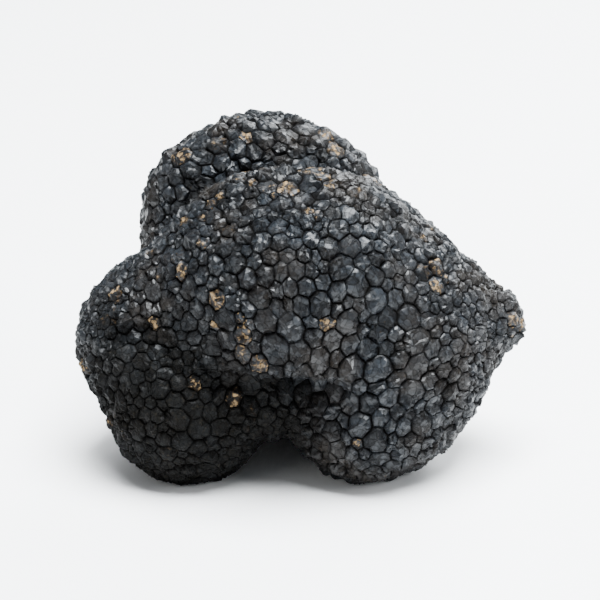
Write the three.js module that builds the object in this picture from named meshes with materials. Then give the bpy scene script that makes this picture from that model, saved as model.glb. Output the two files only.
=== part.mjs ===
// A whole black truffle, the fruit body of a fungus that ripens under the ground.
// It grew as one piece, so it is one solid: swollen lobes that run together, with folds between
// them, under a rind of low many-sided warts. It rests on three low spots.
// Millimetres, +Z up. The origin is the middle of its footprint, on the surface it rests on.
// The front, a brow that hangs over two feet, faces -Y, and the pointed end faces +X.
import * as THREE from 'three';
import { ConvexHull } from 'three/addons/math/ConvexHull.js';

// Sizes that drive the rind
const wartCount = 1980;
const wartWidth = 1.77; // the mean, from side to side
const wartHeight = 0.23; // a mean wart's tip over the smooth rind
const tipSpread = [0.6, 1.4]; // the lowest and highest tip against that
const grooveDepth = 0.22; // the grooves round it under the smooth rind
const wartSpread = [0.6, 1.4]; // the smallest and largest wart against the mean
const restDepth = 0.55; // how far each foot is pressed flat where it rests
const tallWarts = { at: [1, -15.5, 16.6], reach: 6.5, stretch: 0.6 }; // stretched upright over the ledge
const broadWarts = { at: [6, -13, 19], reach: 11, growth: 0.32 }; // wider low on the brow
const finerEnds = { from: 12, to: 25, loss: 0.24 }; // from how far out along X they shrink
const finerFeet = { below: 14, loss: 0.16 }; // and below what height
const coarserRear = { from: -8, to: 14, growth: 0.22 }; // and from where along Y they widen
const crowding = { rounds: 24, spacing: 1.25, push: 0.35, longest: 0.8 }; // how neighbours spread out
const seed = 20;

// Every ray from here meets the rind once.
const heart = new THREE.Vector3(-1, 2, 18);
const reach = 42; // a radius that clears the rind on every side
const ledgeMiddle = new THREE.Vector3(...tallWarts.at);
const lowBrow = new THREE.Vector3(...broadWarts.at);

// The lobes, largest first. Each runs into those before it over its blend.
const lobes = [
  { name: 'core', at: [0, 2, 18], radii: [18, 14.5, 15.4], blend: 1 },
  { name: 'brow', at: [0, -4.5, 22.8], radii: [13.5, 12.5, 12.6], tilt: -28, blend: 4 },
  { name: 'left flank', at: [-13.4, -1.5, 13.4], radii: [11.2, 11.2, 10.4], blend: 4 },
  { name: 'back', at: [-3.3, 10.5, 24], radii: [14.6, 11.5, 14.2], blend: 2.5 },
  { name: 'rump', at: [4, 12, 13], radii: [15, 11, 11.5], blend: 4 },
  { name: 'rear foot', at: [-3, 10, 8.5], radii: [11, 9, 8.8], blend: 4 },
  { name: 'right foot', at: [7.9, -6.5, 9.2], radii: [9.4, 8.8, 9.3], blend: 3 },
  { name: 'left foot', at: [-12.1, -7.3, 9], radii: [9.4, 8.2, 9.3], blend: 3 },
  { name: 'web between the feet', at: [-3.6, -5, 13.2], radii: [8.6, 8.2, 8], blend: 3 },
];

// Lobes that taper to an end
const tapers = [
  { name: 'point', from: [10.4, -2.5, 14.3], to: [23.9, -0.5, 15.9], radii: [12.9, 2.3], blend: 3 },
  { name: 'right shoulder', from: [4, -3, 22.2], to: [23.7, -0.5, 16.9], radii: [11.2, 2.4], blend: 3 },
  { name: 'left shoulder', from: [-3, -3, 22.8], to: [-19.5, -2, 15.3], radii: [11, 4.6], blend: 3 },
];

// Folds sink into the rind along a line near it, and welts stand out from it.
const folds = [
  { name: 'behind the brow', depth: 2.4, width: 2.2,
    line: [[-19, 2, 25], [-12, 1.5, 32], [-4, 2, 36.5], [4, 2.5, 36.5], [11, 4, 32]] },
  { name: 'brow lip', depth: -0.9, width: 2.2,
    line: [[-17, -3, 28], [-12, -3.5, 32], [-4, -4, 35.5], [2, -4, 35.6], [7, -3.5, 34]] },
  { name: 'under the brow', depth: 2.7, width: 1.6,
    line: [[-9.5, -14, 14.6], [-5, -15, 14.6], [0.4, -15.5, 14], [6.6, -14.9, 12.8]] },
  { name: 'hang of the brow', depth: -1.2, width: 2,
    line: [[-8, -14.6, 18.2], [0.4, -15.5, 17.6], [7.5, -14.9, 16.6]] },
  { name: 'between the feet', depth: 1, width: 1.3,
    line: [[-8.8, -14.1, 11.6], [-3.2, -14.1, 12.4], [0, -14.3, 11.5], [2.4, -14.3, 10]] },
  { name: 'inside the right foot', depth: 1, width: 1.3,
    line: [[4.2, -15, 13.2], [4.4, -15, 10], [5, -15, 6.6]] },
  { name: 'round the left foot', depth: 1, width: 1.4,
    line: [[-21.5, -8, 16.5], [-19, -10, 18.6], [-16, -11.5, 18.8], [-13.6, -13.4, 16.2]] },
  { name: 'across the brow', depth: 0.8, width: 1.2,
    line: [[-8, -13.5, 27.4], [-4.8, -16, 26.3], [-1.6, -16.7, 25.3], [3.9, -16.4, 24.7]] },
  { name: 'beside the point', depth: 0.7, width: 1.1, line: [[21.5, -6, 19.2], [24, -2, 18.9]] },
  { name: 'down the rump', depth: 1.6, width: 1.7,
    line: [[9, 19, 28], [3, 23, 22], [1, 24, 15], [5, 24, 8]] },
  { name: 'round the rump', depth: 1.2, width: 1.5,
    line: [[-15, 15, 21], [-9, 21, 19], [-2, 24, 19.5], [3, 23, 22]] },
  { name: 'behind the left flank', depth: 1.6, width: 1.9,
    line: [[-20, 5, 22], [-20, 8, 15], [-17, 9, 8], [-12, 4, 3]] },
  { name: 'behind the point', depth: 1.2, width: 1.5,
    line: [[14, 14, 24], [19, 9, 18], [18, 7, 11], [13, 3, 4]] },
  { name: 'over the back', depth: 0.8, width: 1.4,
    line: [[-13, 12, 33], [-6, 13, 37], [0, 10, 38], [6, 12, 35]] },
];

// Swellings and dents too slight to be lobes
const swellingCount = 46;
const swellingHeight = 0.75;
const swellingRadius = [3.5, 7];

function seededRandom(start) {
  let state = start;
  return () => {
    state = (state + 0x6d2b79f5) | 0;
    let mixed = Math.imul(state ^ (state >>> 15), 1 | state);
    mixed = (mixed + Math.imul(mixed ^ (mixed >>> 7), 61 | mixed)) ^ mixed;
    return ((mixed ^ (mixed >>> 14)) >>> 0) / 4294967296;
  };
}

const random = seededRandom(seed);
const between = ([low, high]) => low + (high - low) * random();

function randomDirection() {
  const z = between([-1, 1]);
  const turn = between([0, 2 * Math.PI]);
  const flat = Math.sqrt(1 - z * z);
  return new THREE.Vector3(flat * Math.cos(turn), flat * Math.sin(turn), z);
}

// Distance outside (+) or inside (-) an ellipsoid that may be tilted about X.
function lobeDistance(lobe) {
  const centre = new THREE.Vector3(...lobe.at);
  const [a, b, c] = lobe.radii;
  const tilt = THREE.MathUtils.degToRad(lobe.tilt ?? 0);
  const cos = Math.cos(tilt);
  const sin = Math.sin(tilt);
  return (p) => {
    const x = p.x - centre.x;
    const y = (p.y - centre.y) * cos + (p.z - centre.z) * sin;
    const z = (p.z - centre.z) * cos - (p.y - centre.y) * sin;
    const scaled = Math.hypot(x / a, y / b, z / c);
    const slope = Math.hypot(x / (a * a), y / (b * b), z / (c * c));
    return (scaled * (scaled - 1)) / slope;
  };
}

// Distance from a cone with round ends
function taperDistance(taper) {
  const from = new THREE.Vector3(...taper.from);
  const axis = new THREE.Vector3(...taper.to).sub(from);
  const length = axis.length();
  axis.normalize();
  const [big, small] = taper.radii;
  const lean = (big - small) / length;
  const offset = new THREE.Vector3();
  return (p) => {
    offset.copy(p).sub(from);
    const along = offset.dot(axis);
    const out = Math.sqrt(Math.max(offset.lengthSq() - along * along, 0));
    const reached = (along - (out * lean) / Math.sqrt(1 - lean * lean)) / length;
    const t = THREE.MathUtils.clamp(reached, 0, 1);
    return Math.hypot(along - t * length, out) - (big + (small - big) * t);
  };
}

function smoothJoin(a, b, blend) {
  const overlap = Math.max(blend - Math.abs(a - b), 0) / blend;
  return Math.min(a, b) - (overlap * overlap * blend) / 4;
}

function foldEffect({ line, depth, width }) {
  const curve = new THREE.CatmullRomCurve3(line.map((point) => settled(new THREE.Vector3(...point))));
  const steps = curve.getSpacedPoints(line.length * 4);
  const nearest = new THREE.Vector3();
  const stretches = steps.slice(1).map((end, i) => new THREE.Line3(steps[i], end));
  // The fold is deepest halfway along and runs out at both ends.
  const strengths = stretches.map((_, i) => Math.sin((Math.PI * (i + 0.5)) / stretches.length) ** 0.6);
  return (p) => {
    let most = 0;
    stretches.forEach((stretch, i) => {
      stretch.closestPointToPoint(p, true, nearest);
      const away = p.distanceToSquared(nearest) / (width * width);
      if (away < 9) most = Math.max(most, strengths[i] * Math.exp(-away));
    });
    return depth * most;
  };
}

const bodies = [
  ...lobes.map((lobe) => ({ distance: lobeDistance(lobe), blend: lobe.blend })),
  ...tapers.map((taper) => ({ distance: taperDistance(taper), blend: taper.blend })),
];

function joinedLobes(p) {
  let distance = bodies[0].distance(p);
  for (const body of bodies.slice(1)) distance = smoothJoin(distance, body.distance(p), body.blend);
  return distance;
}

// Moves a point along its ray from the heart until it lies on the joined lobes.
function settled(point) {
  const direction = point.clone().sub(heart).normalize();
  return direction.multiplyScalar(radiusAlong(direction, joinedLobes, reach)).add(heart);
}

const foldEffects = folds.map(foldEffect);

function smoothBody(p) {
  let distance = joinedLobes(p);
  for (const effect of foldEffects) distance += effect(p);
  return distance;
}

// The radius at which a ray from the heart meets a surface
function radiusAlong(direction, surface, start) {
  const p = new THREE.Vector3();
  let radius = start;
  for (let step = 0; step < 60; step++) {
    const gap = surface(p.copy(heart).addScaledVector(direction, radius));
    radius -= 0.8 * gap;
    if (Math.abs(gap) < 1e-4) break;
  }
  return radius;
}

const swellings = Array.from({ length: swellingCount }, () => {
  const direction = randomDirection();
  const at = heart.clone().addScaledVector(direction, radiusAlong(direction, smoothBody, reach));
  return { at, height: swellingHeight * between([-1, 1]), radius: between(swellingRadius) };
});

// The rind without its warts: zero on it, and positive outside
function rind(p) {
  let distance = smoothBody(p);
  for (const { at, height, radius } of swellings) {
    const near = p.distanceToSquared(at) / (radius * radius);
    if (near < 9) distance -= height * Math.exp(-near);
  }
  return distance;
}

function outward(p) {
  const step = 0.05;
  const probe = p.clone();
  const slope = (axis) => {
    probe.copy(p);
    probe[axis] += step;
    const ahead = rind(probe);
    probe[axis] -= 2 * step;
    return ahead - rind(probe);
  };
  return new THREE.Vector3(slope('x'), slope('y'), slope('z')).normalize();
}

// A wart's middle: where it stands on the rind, which way it faces, and how wide it grew.
function settle(wart, start) {
  wart.radius = radiusAlong(wart.direction, rind, start);
  wart.at.copy(heart).addScaledVector(wart.direction, wart.radius);
}

// How near a point is to a place: 1 there, and fading out past its reach
function nearness(p, middle, fade) {
  return Math.exp(-p.distanceToSquared(middle) / (fade * fade));
}

// Warts are smaller at both ends and near the ground, and larger low on the brow and at the rear.
function localSize(p) {
  const { smoothstep } = THREE.MathUtils;
  const atEnds = finerEnds.loss * smoothstep(Math.abs(p.x), finerEnds.from, finerEnds.to);
  const atFeet = finerFeet.loss * (1 - smoothstep(p.z, 0, finerFeet.below));
  const atRear = coarserRear.growth * smoothstep(p.y, coarserRear.from, coarserRear.to);
  const onBrow = broadWarts.growth * nearness(p, lowBrow, broadWarts.reach);
  return 1 - atEnds - atFeet + atRear + onBrow;
}

function scatterWarts() {
  const warts = [];
  const mostArea = reach * reach;
  while (warts.length < wartCount) {
    const wart = { direction: randomDirection(), at: new THREE.Vector3() };
    settle(wart, reach);
    const facing = Math.max(outward(wart.at).dot(wart.direction), 0.2);
    const share = (wart.radius * wart.radius) / facing / mostArea / localSize(wart.at) ** 2;
    if (random() < share) {
      wart.growth = between(wartSpread);
      warts.push(wart);
    }
  }
  return warts;
}

// How much further apart warts over the ledge stand upwards than sideways
function upright(p) {
  return 1 + tallWarts.stretch * nearness(p, ledgeMiddle, tallWarts.reach);
}

// Neighbours push each other apart along the rind until they are evenly crowded.
function crowdWarts(warts) {
  const cellSize = 1.6 * wartWidth;
  const cellOf = (v) => Math.floor((v + 100) / cellSize);
  const cellKey = (i, j, k) => (i * 512 + j) * 512 + k;
  for (const wart of warts) wart.push = new THREE.Vector3();
  const apart = new THREE.Vector3();
  for (let round = 0; round < crowding.rounds; round++) {
    const grid = new Map();
    for (const wart of warts) {
      wart.cell = [cellOf(wart.at.x), cellOf(wart.at.y), cellOf(wart.at.z)];
      wart.width = wartWidth * wart.growth * localSize(wart.at);
      wart.upright = upright(wart.at);
      const key = cellKey(...wart.cell);
      if (!grid.has(key)) grid.set(key, []);
      grid.get(key).push(wart);
      wart.push.set(0, 0, 0);
    }
    for (const wart of warts) {
      const [i, j, k] = wart.cell;
      for (let di = -1; di <= 1; di++) {
        for (let dj = -1; dj <= 1; dj++) {
          for (let dk = -1; dk <= 1; dk++) {
            for (const other of grid.get(cellKey(i + di, j + dj, k + dk)) ?? []) {
              if (other === wart) continue;
              apart.copy(wart.at).sub(other.at);
              apart.x *= wart.upright;
              const gap = apart.length();
              const wanted = 0.5 * (wart.width + other.width) * crowding.spacing;
              if (gap < wanted) wart.push.addScaledVector(apart, (crowding.push * (wanted - gap)) / gap);
            }
          }
        }
      }
    }
    for (const wart of warts) {
      wart.push.clampLength(0, crowding.longest);
      wart.direction.copy(wart.at).add(wart.push).sub(heart).normalize();
      settle(wart, wart.radius);
    }
  }
}

// Triangles between neighbouring warts: the hull of their directions, as indices that turn outwards
function hullTriangles(warts) {
  const index = new Map(warts.map((wart, i) => [wart.direction, i]));
  const hull = new ConvexHull().setFromPoints(warts.map((wart) => wart.direction));
  return hull.faces.map((face) => {
    const edges = [face.edge, face.edge.next, face.edge.next.next];
    return edges.map((edge) => index.get(edge.head().point));
  });
}

// Turns an edge round wherever the other diagonal joins nearer warts.
function joinNearest(warts, triangles) {
  const key = (a, b) => a * wartCount + b;
  const owner = new Map();
  const own = (t) => {
    const [a, b, c] = triangles[t];
    owner.set(key(a, b), t).set(key(b, c), t).set(key(c, a), t);
  };
  triangles.forEach((_, t) => own(t));
  const angleAt = (tip, a, b) =>
    warts[a].at.clone().sub(warts[tip].at).angleTo(warts[b].at.clone().sub(warts[tip].at));
  const third = (t, a, b) => triangles[t].find((corner) => corner !== a && corner !== b);
  const waiting = [...owner.keys()];
  while (waiting.length) {
    const edge = waiting.pop();
    const a = Math.floor(edge / wartCount);
    const b = edge % wartCount;
    const left = owner.get(edge);
    const right = owner.get(key(b, a));
    if (left === undefined || right === undefined) continue;
    const c = third(left, a, b);
    const d = third(right, a, b);
    const crowded = angleAt(c, a, b) + angleAt(d, a, b) > Math.PI + 1e-6;
    if (!crowded || owner.has(key(c, d)) || owner.has(key(d, c))) continue;
    owner.delete(key(a, b));
    owner.delete(key(b, a));
    triangles[left] = [a, d, c];
    triangles[right] = [d, b, c];
    own(left);
    own(right);
    waiting.push(key(a, d), key(d, b), key(b, c), key(c, a));
  }
  return triangles;
}

// Where three warts meet, nearer to the narrower ones, sunk into the rind
function grooveCorner(warts, triangle) {
  const corner = new THREE.Vector3();
  let total = 0;
  for (const i of triangle) {
    const share = 1 / warts[i].width;
    corner.addScaledVector(warts[i].at, share);
    total += share;
  }
  corner.divideScalar(total);
  const depth = (grooveDepth * triangle.length) / total / wartWidth;
  const facing = outward(corner);
  corner.addScaledVector(facing, -rind(corner) - depth);
  return corner;
}

function wartTip(wart) {
  const height = ((wartHeight * wart.width) / wartWidth) * between(tipSpread);
  return wart.at.clone().addScaledVector(outward(wart.at), height);
}

// Each wart is a low pyramid: a face from its tip to each side of its outline.
function wartySkin(warts, triangles) {
  const tips = warts.map(wartTip);
  const corners = triangles.map((triangle) => grooveCorner(warts, triangle));
  const positions = [...tips, ...corners].flatMap(({ x, y, z }) => [x, y, Math.max(z, restDepth)]);
  const owner = new Map();
  triangles.forEach(([a, b, c], t) => {
    owner.set(`${a} ${b}`, t).set(`${b} ${c}`, t).set(`${c} ${a}`, t);
  });
  const faces = [];
  triangles.forEach(([a, b, c], t) => {
    for (const [tip, neighbour] of [[a, b], [b, c], [c, a]]) {
      const across = owner.get(`${neighbour} ${tip}`);
      faces.push(tip, wartCount + across, wartCount + t);
    }
  });
  const skin = new THREE.BufferGeometry();
  skin.setAttribute('position', new THREE.Float32BufferAttribute(positions, 3));
  skin.setIndex(faces);
  return skin;
}

function buildTruffle() {
  const warts = scatterWarts();
  crowdWarts(warts);
  const triangles = joinNearest(warts, hullTriangles(warts));
  const skin = wartySkin(warts, triangles);
  skin.computeBoundingBox();
  const { min, max } = skin.boundingBox;
  skin.translate(-(min.x + max.x) / 2, -(min.y + max.y) / 2, -min.z);
  skin.computeVertexNormals();
  const peridium = new THREE.MeshStandardMaterial({ color: 0x1d1c1d, roughness: 0.62, metalness: 0 });
  const truffle = new THREE.Mesh(skin, peridium);
  truffle.name = 'truffle';
  return truffle;
}

const part = new THREE.Group();
part.add(buildTruffle());

export default part;
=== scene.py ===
import math

import bpy
import numpy as np
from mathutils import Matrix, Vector, noise


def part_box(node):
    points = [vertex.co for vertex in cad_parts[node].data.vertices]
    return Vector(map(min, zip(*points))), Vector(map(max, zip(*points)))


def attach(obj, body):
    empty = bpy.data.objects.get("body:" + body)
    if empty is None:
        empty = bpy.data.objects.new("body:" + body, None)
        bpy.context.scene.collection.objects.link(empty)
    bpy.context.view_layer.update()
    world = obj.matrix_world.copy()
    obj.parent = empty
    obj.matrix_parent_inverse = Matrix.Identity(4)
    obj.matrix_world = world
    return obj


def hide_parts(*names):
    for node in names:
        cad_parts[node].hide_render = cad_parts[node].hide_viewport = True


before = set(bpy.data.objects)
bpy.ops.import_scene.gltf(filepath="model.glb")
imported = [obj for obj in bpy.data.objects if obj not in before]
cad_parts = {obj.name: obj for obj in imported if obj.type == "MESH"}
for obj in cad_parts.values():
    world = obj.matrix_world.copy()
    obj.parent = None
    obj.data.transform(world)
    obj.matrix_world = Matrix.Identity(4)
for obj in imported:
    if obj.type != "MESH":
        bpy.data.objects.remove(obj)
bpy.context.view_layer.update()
low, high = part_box("truffle")
mm = 0.001


# Camera and light, in metres
cameraView = {
    "lens": 180,
    "fill": 0.74,  # the truffle's width as a share of the picture's
    "elevation": 22,  # degrees above level
    "aim": (0, 0, 0.0172),
    "clip": 0.01,
}


def addCamera(view):
    bpy.ops.object.camera_add()
    camera = bpy.context.object
    camera.data.lens = view["lens"]
    distance = (high.x - low.x) / view["fill"] * view["lens"] / camera.data.sensor_width
    rise = math.radians(view["elevation"])
    camera.location = Vector(view["aim"]) + distance * Vector((0, -math.cos(rise), math.sin(rise)))
    camera.rotation_euler = (math.pi / 2 - rise, 0, 0)
    camera.data.clip_start = view["clip"]
    bpy.context.scene.camera = camera


softboxes = {
    "overhead": {"at": (0.06, -0.02, 0.5), "size": 0.34, "watts": 22.0, "colour": (0.93, 0.97, 1.0)},
    "right": {"at": (0.45, -0.15, 0.25), "size": 0.22, "watts": 1.4, "colour": (0.95, 0.98, 1.0)},
    "left": {"at": (-0.45, -0.4, 0.35), "size": 0.3, "watts": 0.6, "colour": (1.0, 0.98, 0.95)},
    "behind": {"at": (0.2, 0.45, 0.25), "size": 0.3, "watts": 6.0, "colour": (0.93, 0.97, 1.0)},
}


def addSoftbox(name, box):
    at = Vector(box["at"])
    bpy.ops.object.light_add(type="AREA", location=at)
    light = bpy.context.object
    light.name = name + "Softbox"
    light.rotation_euler = (Vector(cameraView["aim"]) - at).to_track_quat("-Z", "Y").to_euler()
    light.data.size = box["size"]
    light.data.energy = box["watts"]
    light.data.color = box["colour"]


paleRoom = {"colour": (0.9, 0.95, 1.0), "strength": 0.35}


def addSkyLight(room):
    world = bpy.data.worlds.new("paleRoom")
    world.use_nodes = True
    sky = world.node_tree.nodes["Background"]
    sky.inputs["Color"].default_value = (*room["colour"], 1)
    sky.inputs["Strength"].default_value = room["strength"]
    bpy.context.scene.world = world


# Shader maths: a Wire is a socket that Python's operators work on
class Wire:
    def __init__(self, shader, socket):
        self.shader = shader
        self.socket = socket

    def maths(self, operation, one, other):
        return self.shader.node("Math", {"operation": operation}, {0: one, 1: other})

    def __add__(self, other):
        return self.maths("ADD", self, other)

    def __radd__(self, other):
        return self.maths("ADD", other, self)

    def __sub__(self, other):
        return self.maths("SUBTRACT", self, other)

    def __rsub__(self, other):
        return self.maths("SUBTRACT", other, self)

    def __mul__(self, other):
        return self.maths("MULTIPLY", self, other)

    def __rmul__(self, other):
        return self.maths("MULTIPLY", other, self)

    def atLeast(self, other):
        return self.maths("MAXIMUM", self, other)

    def ramp(self, start, end, bottom=0.0, top=1.0):  # an eased step from start to end
        settings = {"interpolation_type": "SMOOTHSTEP"}
        inputs = {"Value": self, "From Min": start, "From Max": end, "To Min": bottom, "To Max": top}
        return self.shader.node("MapRange", settings, inputs)


class Shader:
    def __init__(self, name):
        self.material = bpy.data.materials.new(name)
        self.material.use_nodes = True
        self.tree = self.material.node_tree
        self.surface = self.tree.nodes["Principled BSDF"]

    def node(self, kind, settings=None, inputs=None, output=0):
        made = self.tree.nodes.new("ShaderNode" + kind)
        for name, value in (settings or {}).items():
            setattr(made, name, value)
        for name, value in (inputs or {}).items():
            self.feed(made.inputs[name], value)
        return Wire(self, made.outputs[output])

    def feed(self, socket, value):
        if isinstance(value, Wire):
            self.tree.links.new(value.socket, socket)
        else:
            socket.default_value = value

    def put(self, **values):
        for name, value in values.items():
            self.feed(self.surface.inputs[name.replace("_", " ")], value)

    def attribute(self, name, output="Fac"):
        return self.node("Attribute", {"attribute_name": name}, output=output)

    def vector(self, operation, one, other, output="Vector"):
        return self.node("VectorMath", {"operation": operation}, {0: one, 1: other}, output)

    def noise(self, place, scale, detail, roughness):
        inputs = {"Vector": place, "Scale": scale, "Detail": detail, "Roughness": roughness}
        return self.node("TexNoise", None, inputs, "Fac")

    def cells(self, place, scale, feature="F1", output="Distance"):
        return self.node("TexVoronoi", {"feature": feature}, {"Vector": place, "Scale": scale}, output)

    def channel(self, colour, number):  # red, green or blue
        return self.node("SeparateColor", None, {0: colour}, number)

    def mix(self, share, one, other):  # colours are three numbers or wires
        one, other = [c if isinstance(c, Wire) else (*c, 1) for c in (one, other)]
        return self.node("Mix", {"data_type": "RGBA"}, {0: share, 6: one, 7: other}, 2)


# The floor
paleFloor = {
    "size": 4,
    "drop": 0.02 * mm,  # clear of the flat spots
    "colour": (0.9, 0.9, 0.9, 1),
    "roughness": 0.6,
}


def makeFloor(plan):
    bpy.ops.mesh.primitive_plane_add(size=plan["size"], location=(0, 0, -plan["drop"]))
    floor = bpy.context.object
    floor.name = "floor"
    paint = Shader("paleFloor")
    paint.put(Base_Color=plan["colour"], Roughness=plan["roughness"])
    floor.data.materials.append(paint.material)


# The rind's shape
rindShape = {
    "weld": 0.01 * mm,  # corners nearer than this are one
    "cuts": 3,  # extra rings of vertices on each wart, from its groove to its tip
    "rings": (0.0, 0.11, 0.33, 0.69, 1.0),  # where they lie
    "flat": (0.0, 0.54, 0.89, 0.98, 1.0),  # how high each stands on a wart with a flat top
    "peak": (0.0, 0.36, 0.6, 0.88, 1.2),  # on a pointed one
    "dent": (0.0, 0.57, 0.98, 0.98, 0.8),  # and on one with a sunken top
    "ridge": (0.0, 0.08, 0.2, 0.16, 0.0),  # how far its edges stand out and its faces sink
    "rarePeaks": 1.5,  # a power: the higher it is, the fewer warts are pointed
    "dents": (2.4, 1.1),  # a factor and what is taken off, so that about half the warts have a dent
    "edges": (2.4, 1.0),  # a factor and what is taken off, for how sharp each edge is
    "relief": 0.42 * mm,  # a middling wart's height over its groove
    "middling": 1.77 * mm,  # and its width
    "uneven": (0.75, 0.5),  # the lowest wart's share of that height, and how much more a wart may have
    "slant": 0.33,  # how far the tops tilt
    "tipWander": 0.3 * mm,  # how far the tip of a wart 2 mm wide strays
    "fused": 0.9,  # how far a groove goes from groove to top where two warts have grown together
    "fusedRun": 1.5 * mm,  # how long such places are
    "fusedEdge": (6, 0.3),  # a factor and what is taken off, so that they end sharply
    "fusedRise": 0.8,  # how much of a wart's height the whole of that is
    "grooveWander": (0.15 * mm, 0.8 * mm),  # how far a groove strays, and over what length
    "grain": (0.06 * mm, 0.45 * mm),  # how high small bumps are, and how wide
    "grainInGroove": 0.3,  # their share of that in a groove
    "creases": (0.26 * mm, 1.05 * mm),  # how high sharp folds across the tops are, and how far apart
    "creaseMiddle": 0.25,  # about their mean, so that they neither raise nor sink the rind
    "creaseRise": 3,  # they are full from a third of the way up a wart
    "fluteSets": 9,  # how far through the noise the warts' flutes are spread
    "flatUnder": 0.02 * mm,  # lower than this is a flat spot
    "underside": 0.16 * mm,  # how deep the grooves are there
    "smoothUnder": 24,  # degrees: sharper edges stay sharp
}

# Random numbers come from one noise, which each seed reads at a place of its own
seeds = {
    "tone": 1, "slant": (2, 3, 4), "worn": 5, "grooveWander": (6, 7, 8), "grain": 9, "pointed": 11,
    "dented": 12, "height": 13, "flutes": 14, "wear": 15, "ridge": 16, "fused": 17, "creases": 18,
    "tipWander": (20, 21, 22),
}
seedSteps = (7.31, 3.17, 5.71)
luckScale = 0.13 * mm  # far finer than a wart, so that neighbours differ
luckStretch = 1.7  # so that the shares fill 0 to 1


def field(places, scale, seed):
    # A smooth random number from about -1 to 1 at each place, with features about scale wide
    away = Vector([seed * step for step in seedSteps])
    return np.array([noise.noise(Vector(p) / scale + away) for p in places])


def luck(places, seed):  # a random share from 0 to 1 for each place
    return 0.5 + 0.5 * np.clip(field(places, luckScale, seed) * luckStretch, -1, 1)


def only(thing):
    bpy.ops.object.select_all(action="DESELECT")
    thing.select_set(True)
    bpy.context.view_layer.objects.active = thing


def read(collection, name, width, kind=np.float64):
    values = np.zeros(len(collection) * width, kind)
    collection.foreach_get(name, values)
    return values.reshape(-1, width) if width > 1 else values


def store(mesh, name, kind, values):
    layer = mesh.attributes.new(name, kind, "POINT")
    layer.data.foreach_set("vector" if kind == "FLOAT_VECTOR" else "value", np.ravel(values))


def isAt(level, share):
    return np.abs(level - share) < 0.01


def findTips(corners, count):
    # Six edges meet at each corner of a groove, so a vertex with more is a wart's tip.
    # From there each triangle has one tip, and the next triangle over a groove has the next tip.
    grooveEdges = 6
    edgeCount = np.bincount(corners.ravel(), minlength=count)
    isTip = np.zeros(count, bool)
    start = int(np.argmax(edgeCount[corners].max(axis=1) > grooveEdges))
    across = {}
    for number, triangle in enumerate(corners):
        for a, b, c in (triangle, np.roll(triangle, -1), np.roll(triangle, -2)):
            across[a, b] = (number, c)
    seen = {start}
    waiting = [start]
    isTip[corners[start][np.argmax(edgeCount[corners[start]])]] = True
    while waiting:
        triangle = corners[waiting.pop()]
        for a, b in zip(triangle, np.roll(triangle, -1)):
            number, far = across[b, a]
            if number not in seen:
                isTip[far] = not isTip[a] and not isTip[b]
                seen.add(number)
                waiting.append(number)
    return isTip


def smoothNormals(places, corners, rounds):
    a, b, c = (places[corners[:, i]] for i in range(3))
    facing = np.cross(b - a, c - a)
    normals = np.zeros_like(places)
    for i in range(3):
        np.add.at(normals, corners[:, i], facing)
    for _ in range(rounds):
        spread = normals.copy()
        for i in range(3):
            np.add.at(spread, corners[:, i], normals[corners[:, i - 1]] + normals[corners[:, i - 2]])
        normals = spread / np.linalg.norm(spread, axis=1, keepdims=True)
    return normals / np.linalg.norm(normals, axis=1, keepdims=True)


def ownWarts(edges, level, tipNumbers):
    # Each vertex above a groove takes the number of the wart whose tip its edges lead to.
    owner = np.full(len(level), -1)
    owner[tipNumbers] = np.arange(len(tipNumbers))
    for _ in range(rindShape["cuts"]):
        for a, b in (edges.T, edges.T[::-1]):
            reached = (owner[a] >= 0) & (owner[b] < 0) & ~isAt(level[b], 0)
            owner[b[reached]] = owner[a[reached]]
    return owner


def wartWidths(places, level, tips, owner):  # from the first ring round each tip
    rings = rindShape["cuts"] + 1
    ring = (owner >= 0) & isAt(level, 1 - 1 / rings)
    reach = np.linalg.norm(places[ring] - tips[owner[ring]], axis=1) * rings
    return 2 * np.bincount(owner[ring], reach) / np.bincount(owner[ring])


def riseOfWarts(profiles, foot, onRidge, tips, owner):
    # Each wart has its own shape, between a flat top, a peak and a dent.
    pointed = (luck(tips, seeds["pointed"]) ** rindShape["rarePeaks"])[owner]
    factor, off = rindShape["dents"]
    dented = np.clip(luck(tips, seeds["dented"]) * factor - off, 0, 1)[owner]
    risen = profiles["flat"] * (1 - pointed)
    risen += profiles["peak"] * pointed
    risen += (profiles["dent"] - risen) * dented
    factor, off = rindShape["edges"]
    sharp = np.where(onRidge, luck(foot, seeds["ridge"]) * factor - off, -1)
    return risen + profiles["ridge"] * sharp


def fluteDirections(moved, tipNumbers, tips, facing, owner):
    # Which way each vertex lies from its tip, for the flutes that run down from it
    aside = (0.31, 0.52, 0.79)  # any direction would do
    east = np.cross(facing, aside)
    east /= np.linalg.norm(east, axis=1, keepdims=True)
    north = np.cross(facing, east)
    away = moved - moved[tipNumbers][owner]
    around = np.stack([np.einsum("ij,ij->i", away, way[owner]) for way in (east, north)], axis=1)
    around /= np.maximum(np.linalg.norm(around, axis=1, keepdims=True), rindShape["weld"])
    return np.column_stack([around, rindShape["fluteSets"] * luck(tips, seeds["flutes"])[owner]])


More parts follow.
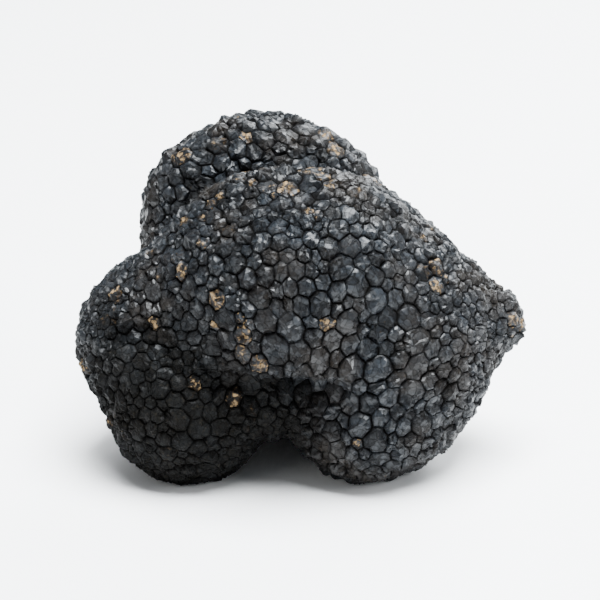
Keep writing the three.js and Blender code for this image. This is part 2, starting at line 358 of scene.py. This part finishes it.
# Where the dark skin has worn to tan
rindWear = {
    "anywhere": 0.2,  # the most of the warts that are worn away from the spots below
    "patch": 9 * mm,  # how wide such patches are
    "patchEdge": (2, 0.3),  # a factor and what is added, for how softly they end
    "fullAt": 18 * mm,  # how high on the truffle they reach their most
    "halfWorn": (4, 0.5),  # a factor and what is added, for the warts between worn and whole
    "inFront": 0.1,  # the spots count only where the rind faces the camera at least so much
    "core": 1.4,  # over 1, so that a spot has its full share round its middle
    "pixel": 0.385 * mm,
    "pointPixel": 561,  # the truffle's right end in the photograph
    "footPixel": 360.5,  # and its feet
}
wornSpots = {  # each spot's pixel in the photograph, its reach in mm and the share of warts that it takes
    "leftShoulder": [
        (438, 306, 1.3, 0.8), (437, 312, 1.3, 0.8), (450, 299.5, 1.2, 0.8), (448, 310.5, 1.0, 0.7),
        (451, 312.5, 1.0, 0.8), (454.5, 314, 0.9, 0.6), (467.5, 304, 1.3, 0.8), (471, 306, 1.2, 0.8),
        (475, 304.5, 1.2, 0.8), (475, 311, 1.0, 0.6), (467.5, 313, 1.0, 0.8),
    ],
    "leftFoot": [(459.5, 333.5, 0.9, 0.8), (464, 341.5, 1.0, 0.9)],
    "brow": [(490, 317, 1.2, 0.5), (483, 318, 1.1, 0.4), (508, 333, 1.5, 0.5), (513, 303, 0.9, 0.5)],
    "right": [
        (533, 296.5, 1.2, 0.55), (536, 300, 1.1, 0.55), (532, 303, 1.1, 0.45), (538, 304.5, 0.9, 0.5),
        (531, 321, 0.8, 0.8), (559, 312.5, 1.6, 0.5), (556, 309, 1.2, 0.4),
    ],
    "crest": [
        (461, 283, 1.5, 0.5), (464.5, 279.5, 1.5, 0.55), (467.5, 277.5, 1.6, 0.55), (472, 275, 1.6, 0.5),
        (477.5, 271.5, 1.6, 0.5), (485, 272, 1.6, 0.45), (486.5, 268.5, 1.6, 0.5), (495, 268, 1.5, 0.5),
        (502, 270, 1.5, 0.45), (511, 272.5, 1.3, 0.4),
    ],
    "backLobe": [
        (456.5, 264, 1.6, 0.6), (460, 260, 1.3, 0.5), (493.5, 253, 1.5, 0.5), (499.5, 254.5, 1.3, 0.5),
        (503, 259, 1.3, 0.5), (509.5, 263, 1.4, 0.6),
    ],
}


def wornShare(tips, facing):
    factor, added = rindWear["patchEdge"]
    patches = np.clip(field(tips, rindWear["patch"], seeds["worn"]) * factor + added, 0, 1)
    share = rindWear["anywhere"] * patches * np.clip(tips[:, 2] / rindWear["fullAt"], 0, 1)
    rise = math.radians(cameraView["elevation"])
    upward = tips @ (0, math.sin(rise), math.cos(rise))  # how high each tip shows in the picture
    inFront = facing @ (0, -math.cos(rise), math.sin(rise)) > rindWear["inFront"]
    for spots in wornSpots.values():
        for x, y, reach, most in spots:
            across = high.x + (x - rindWear["pointPixel"]) * rindWear["pixel"]
            above = upward.min() + (rindWear["footPixel"] - y) * rindWear["pixel"]
            away = np.hypot(tips[:, 0] - across, upward - above)
            here = most * np.clip(rindWear["core"] - away / (reach * mm), 0, 1)
            share = np.where(inFront, np.maximum(share, here), share)
    return share


def shapeWarts(mesh):
    places = read(mesh.vertices, "co", 3)
    level = read(mesh.attributes["level"].data, "value", 1)  # 0 in a groove and 1 on a tip
    outward = read(mesh.attributes["outward"].data, "vector", 3)
    outward /= np.linalg.norm(outward, axis=1, keepdims=True)
    edges = read(mesh.edges, "vertices", 2, np.int32)
    onRidge = np.zeros(len(places), bool)
    onRidge[edges[read(mesh.edges, "use_seam", 1, bool)]] = True
    mesh.edges.foreach_set("use_seam", np.zeros(len(edges), bool))
    tipNumbers = np.flatnonzero(isAt(level, 1))
    tips = places[tipNumbers]
    facing = outward[tipNumbers]
    owner = ownWarts(edges, level, tipNumbers)
    owned = owner >= 0
    width = wartWidths(places, level, tips, owner)[owner]

    # slide the rings to where they should lie, between the tip and the groove's foot below it
    stops = np.linspace(0, 1, rindShape["cuts"] + 2)
    shapes = ("flat", "peak", "dent", "ridge")
    profiles = {name: np.interp(level, stops, rindShape[name]) for name in shapes}
    placed = np.interp(level, stops, rindShape["rings"])
    inner = owned & ~isAt(level, 1)
    tipOf = tips[owner]
    foot = places.copy()
    foot[inner] = (places[inner] - level[inner, None] * tipOf[inner]) / (1 - level[inner, None])
    moved = places.copy()
    moved[inner] = placed[inner, None] * tipOf[inner] + (1 - placed[inner, None]) * foot[inner]

    # raise each wart to its own height, and fill the grooves where warts have grown together
    lowest, spread = rindShape["uneven"]
    risen = riseOfWarts(profiles, foot, onRidge, tips, owner)
    relief = np.where(owned, rindShape["relief"] * np.sqrt(width / rindShape["middling"]), 0)
    lift = (risen * (lowest + spread * luck(tips, seeds["height"])[owner]) - placed) * relief
    factor, off = rindShape["fusedEdge"]
    run = np.clip(field(foot, rindShape["fusedRun"], seeds["fused"]) * factor - off, 0, 1)
    together = rindShape["fused"] * run * (1 - placed)
    lift += together * rindShape["relief"] * rindShape["fusedRise"]

    # tilt its top and shift its tip
    tilts, shifts = (np.stack([luck(tips, seed) * 2 - 1 for seed in seeds[name]], axis=1)[owner]
                     for name in ("slant", "tipWander"))
    slant = np.einsum("ij,ij->i", moved - tipOf, tilts)
    lift += np.where(owned, rindShape["slant"] * slant * placed, 0)
    shift = shifts * rindShape["tipWander"] * placed[:, None] ** 1.5
    moved += np.where(owned[:, None], shift * (width / (2 * mm))[:, None], 0)

    # let the grooves wander, and add grain and creases
    stray, length = rindShape["grooveWander"]
    moved += np.stack([field(moved, length, seed) for seed in seeds["grooveWander"]], axis=1) * stray
    tall, wide = rindShape["grain"]
    share = np.where(isAt(level, 0), rindShape["grainInGroove"], 1)
    lift += field(moved, wide, seeds["grain"]) * tall * share
    tall, apart = rindShape["creases"]
    creased = rindShape["creaseMiddle"] - np.abs(field(moved, apart, seeds["creases"]))
    lift += creased * tall * np.clip(placed * rindShape["creaseRise"], 0, 1)
    moved += lift[:, None] * outward

    # keep it on the ground, where the flat spots stay flat between shallow grooves
    onGround = places[:, 2] < rindShape["flatUnder"]
    moved[:, 2] = np.maximum(moved[:, 2], 0)
    moved[onGround, 2] = (rindShape["underside"] * (1 - placed))[onGround]

    spin = fluteDirections(moved, tipNumbers, tips, facing, owner)
    factor, added = rindWear["halfWorn"]
    wear = np.clip((wornShare(tips, facing) - luck(tips, seeds["wear"])) * factor + added, 0, 1)
    mesh.vertices.foreach_set("co", moved.ravel())
    store(mesh, "height", "FLOAT", placed + together)
    store(mesh, "tone", "FLOAT", np.where(owned, luck(tips, seeds["tone"])[owner], 0.5))
    store(mesh, "wear", "FLOAT", np.where(owned, wear[owner], 0))
    store(mesh, "spin", "FLOAT_VECTOR", np.where(owned[:, None], spin, 0))
    mesh.update()


def makeRind():
    rind = bpy.data.objects.new("rind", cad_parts["truffle"].data.copy())
    bpy.context.collection.objects.link(rind)
    mesh = rind.data
    mesh.materials.clear()
    only(rind)
    bpy.ops.object.mode_set(mode="EDIT")
    bpy.ops.mesh.select_all(action="SELECT")
    bpy.ops.mesh.remove_doubles(threshold=rindShape["weld"])
    bpy.ops.mesh.customdata_custom_splitnormals_clear()
    bpy.ops.object.mode_set(mode="OBJECT")

    places = read(mesh.vertices, "co", 3)
    corners = read(mesh.polygons, "vertices", 3, np.int32)
    edges = read(mesh.edges, "vertices", 2, np.int32)
    isTip = findTips(corners, len(places))
    print("warts:", isTip.sum(), "groove corners:", (~isTip).sum())
    store(mesh, "level", "FLOAT", isTip.astype(float))
    store(mesh, "outward", "FLOAT_VECTOR", smoothNormals(places, corners, 2))
    mesh.edges.foreach_set("use_seam", isTip[edges].any(axis=1))  # a seam runs down each edge of a wart

    bpy.ops.object.mode_set(mode="EDIT")
    bpy.ops.mesh.select_all(action="SELECT")
    bpy.ops.mesh.subdivide(number_cuts=rindShape["cuts"])
    bpy.ops.object.mode_set(mode="OBJECT")
    print("rind triangles:", len(mesh.polygons))
    shapeWarts(mesh)
    only(rind)
    bpy.ops.object.shade_smooth_by_angle(angle=math.radians(rindShape["smoothUnder"]))
    return rind


# The rind's finish
rindPaint = {
    # painted shade for the grooves and hair cracks
    "groove": (0.0020, 0.0017, 0.0014),
    "dark": (0.0030, 0.0033, 0.0039),
    "slate": (0.0130, 0.0160, 0.0200),
    "earth": (0.0150, 0.0105, 0.0064),
    # near black: painted shade over soil, for the left foot and the recess under the brow
    "soilAndShade": (0.0012, 0.0011, 0.0008),
    "crumb": (0.0150, 0.0118, 0.0068),
    "bark": (0.024, 0.0155, 0.0088),
    "tan": (0.06, 0.038, 0.018),
    "cream": (0.19, 0.128, 0.066),
    "noises": {  # how fine in each millimetre, how many layers and how rough
        "broad": (0.16, 3, 0.5),
        "patches": (1.9, 4, 0.6),
        "fine": (8, 4, 0.65),
        "flutes": (2.6, 2, 0.5),  # round each tip
        "crumbs": (2.2, 5, 0.75),
        "flecks": (2.6, 3, 0.7),
    },
    "chips": 1.25,  # small flat chips across each millimetre of a wart
    "scabs": 2.4,  # tan specks across each millimetre
    "soiledAndShaded": {  # places in mm, and where they fade, darkened by painted shade with some soil on it
        "leftFoot": {"at": (-14, -13, 5), "fade": (8, 22)},
        "arch": {"at": (-4, -15, 8), "fade": (1, 10)},
    },
    "ragged": 12,  # how far the fade strays, in mm
    "stops": {  # where each mask starts and where it is full, then its values there if not 0 and 1
        "unbroken": (0.0, 0.09),
        "slate": (0.85, 1.6),
        "earth": (0.7, 1.0),
        "crumbs": (0.52, 0.68),
        "raised": (0.06, 0.3),
        "worn": (0.1, 0.8),
        "wornThrough": (0.2, 0.6),
        "rubbed": (1.54, 1.72),
        "bark": (1.3, 1.56),
        "flecks": (0.76, 0.84),
        "cream": (0.95, 1.25),
        "rough": (0.3, 0.75, 0.28, 0.46),
        "glints": (0.7, 1.25, 0.15, 1),
    },
    "most": {"earth": 0.5, "crumbs": 0.55, "soilAndShade": 0.85, "bark": 0.8, "flecks": 0.7},
    "bumps": {"fine": 0.06, "patches": 0.16, "flutes": 0.14, "chips": 0.6, "cracks": 0.06},  # in mm
    "shine": 0.05,
    "wax": 0.36,  # the most coat on a wart outside the soiled and shaded places and the worn spots
    "waxRoughness": 0.3,
}


def paintRind(look):
    paint = Shader("peridium")
    noises, stops, most, bumps = (look[name] for name in ("noises", "stops", "most", "bumps"))
    place = paint.node("TexCoord", output="Object")
    inMm = paint.node("VectorMath", {"operation": "SCALE"}, {0: place, "Scale": 1 / mm})
    spin = paint.attribute("spin", "Vector")
    height = paint.attribute("height")
    tone = paint.attribute("tone")
    wear = paint.attribute("wear")
    broad, patches, fine = (paint.noise(inMm, *noises[name]) for name in ("broad", "patches", "fine"))
    flutes = paint.noise(spin, *noises["flutes"])

    # each chip is a small plane with a tilt of its own, edged by a hair crack
    middle = paint.cells(inMm, look["chips"], output="Position")
    chance = paint.cells(inMm, look["chips"], output="Color")
    away = paint.vector("SUBTRACT", inMm, middle)
    lean = paint.vector("SUBTRACT", chance, (0.5, 0.5, 0.5))
    chip = paint.vector("DOT_PRODUCT", away, lean, "Value")
    unbroken = paint.cells(inMm, look["chips"], "DISTANCE_TO_EDGE").ramp(*stops["unbroken"])
    chipTone = paint.channel(chance, 0)

    # the skin runs from near black to slate, and is earthy in places
    slaty = tone * 0.4 + patches * 0.8 + flutes * 0.4 + broad * 0.4 + chipTone * 0.35
    colour = paint.mix(slaty.ramp(*stops["slate"]), look["dark"], look["slate"])
    earthy = (broad + fine * 0.35 + patches * 0.25).ramp(*stops["earth"]) * most["earth"]
    colour = paint.mix(earthy, colour, look["earth"])

    # painted shade, with olive soil crumbs: the left foot and the recess under the brow before the arch
    # are darkened in the colour
    cleanAndUnshaded = 1
    for spot in look["soiledAndShaded"].values():
        far = paint.vector("DISTANCE", inMm, spot["at"], "Value")
        cleanAndUnshaded = (far + (broad - 0.5) * look["ragged"]).ramp(*spot["fade"]) * cleanAndUnshaded
    soiledAndShaded = 1 - cleanAndUnshaded
    crumbs = paint.noise(inMm, *noises["crumbs"]).ramp(*stops["crumbs"]) * most["crumbs"]
    soilAndShade = paint.mix(crumbs, look["soilAndShade"], look["crumb"])
    colour = paint.mix(soiledAndShaded * most["soilAndShade"], colour, soilAndShade)

    # painted shade: the grooves and the chips' hair cracks are darkened in the colour, where shade falls
    # in them
    raised = (height + patches * 0.15).ramp(*stops["raised"]) * (0.45 + unbroken * 0.55)
    colour = paint.mix(raised, look["groove"], colour)

    # wear shows as chips on the worn warts, and as flecks anywhere
    scabTone = paint.channel(paint.cells(inMm, look["scabs"], output="Color"), 1)
    worn = scabTone * 0.55 + patches * 0.95 + fine * 0.5 + height * 0.25
    worn = worn + wear.ramp(*stops["worn"]) * 0.3
    rubbed = worn.ramp(*stops["rubbed"]) * wear.ramp(*stops["wornThrough"])
    colour = paint.mix(worn.ramp(*stops["bark"]) * wear * most["bark"], colour, look["bark"])
    flecks = (paint.noise(inMm, *noises["flecks"]) + height * 0.12).ramp(*stops["flecks"])
    rubbed = rubbed.atLeast(flecks * (0.35 + wear * 0.5) * cleanAndUnshaded * most["flecks"])
    tan = paint.mix((fine * 0.6 + worn * 0.5).ramp(*stops["cream"]), look["tan"], look["cream"])
    colour = paint.mix(rubbed, colour, tan)

    relief = fine * bumps["fine"] + patches * bumps["patches"] + flutes * bumps["flutes"]
    relief = relief + chip * bumps["chips"] + unbroken * bumps["cracks"]
    bump = paint.node("Bump", None, {"Strength": 1.0, "Distance": mm, "Height": relief})
    rough = patches.ramp(*stops["rough"]) + rubbed * 0.25 + (1 - raised) * 0.3 + soiledAndShaded * 0.25
    glints = (chipTone * 0.45 + flutes * 0.55 + patches * 0.6 + tone * 0.3).ramp(*stops["glints"])
    wax = glints * raised * (1 - soiledAndShaded * 0.9) * (1 - rubbed) * look["wax"]
    paint.put(Base_Color=colour, Roughness=rough, Normal=bump, Specular_IOR_Level=look["shine"])
    paint.put(Coat_Weight=wax, Coat_Roughness=look["waxRoughness"])
    return paint.material


addCamera(cameraView)
for name, box in softboxes.items():
    addSoftbox(name, box)
addSkyLight(paleRoom)
makeFloor(paleFloor)
print("stage ready")

rind = makeRind()
rind.data.materials.append(paintRind(rindPaint))
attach(rind, "root")
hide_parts("truffle")
print("rind ready")
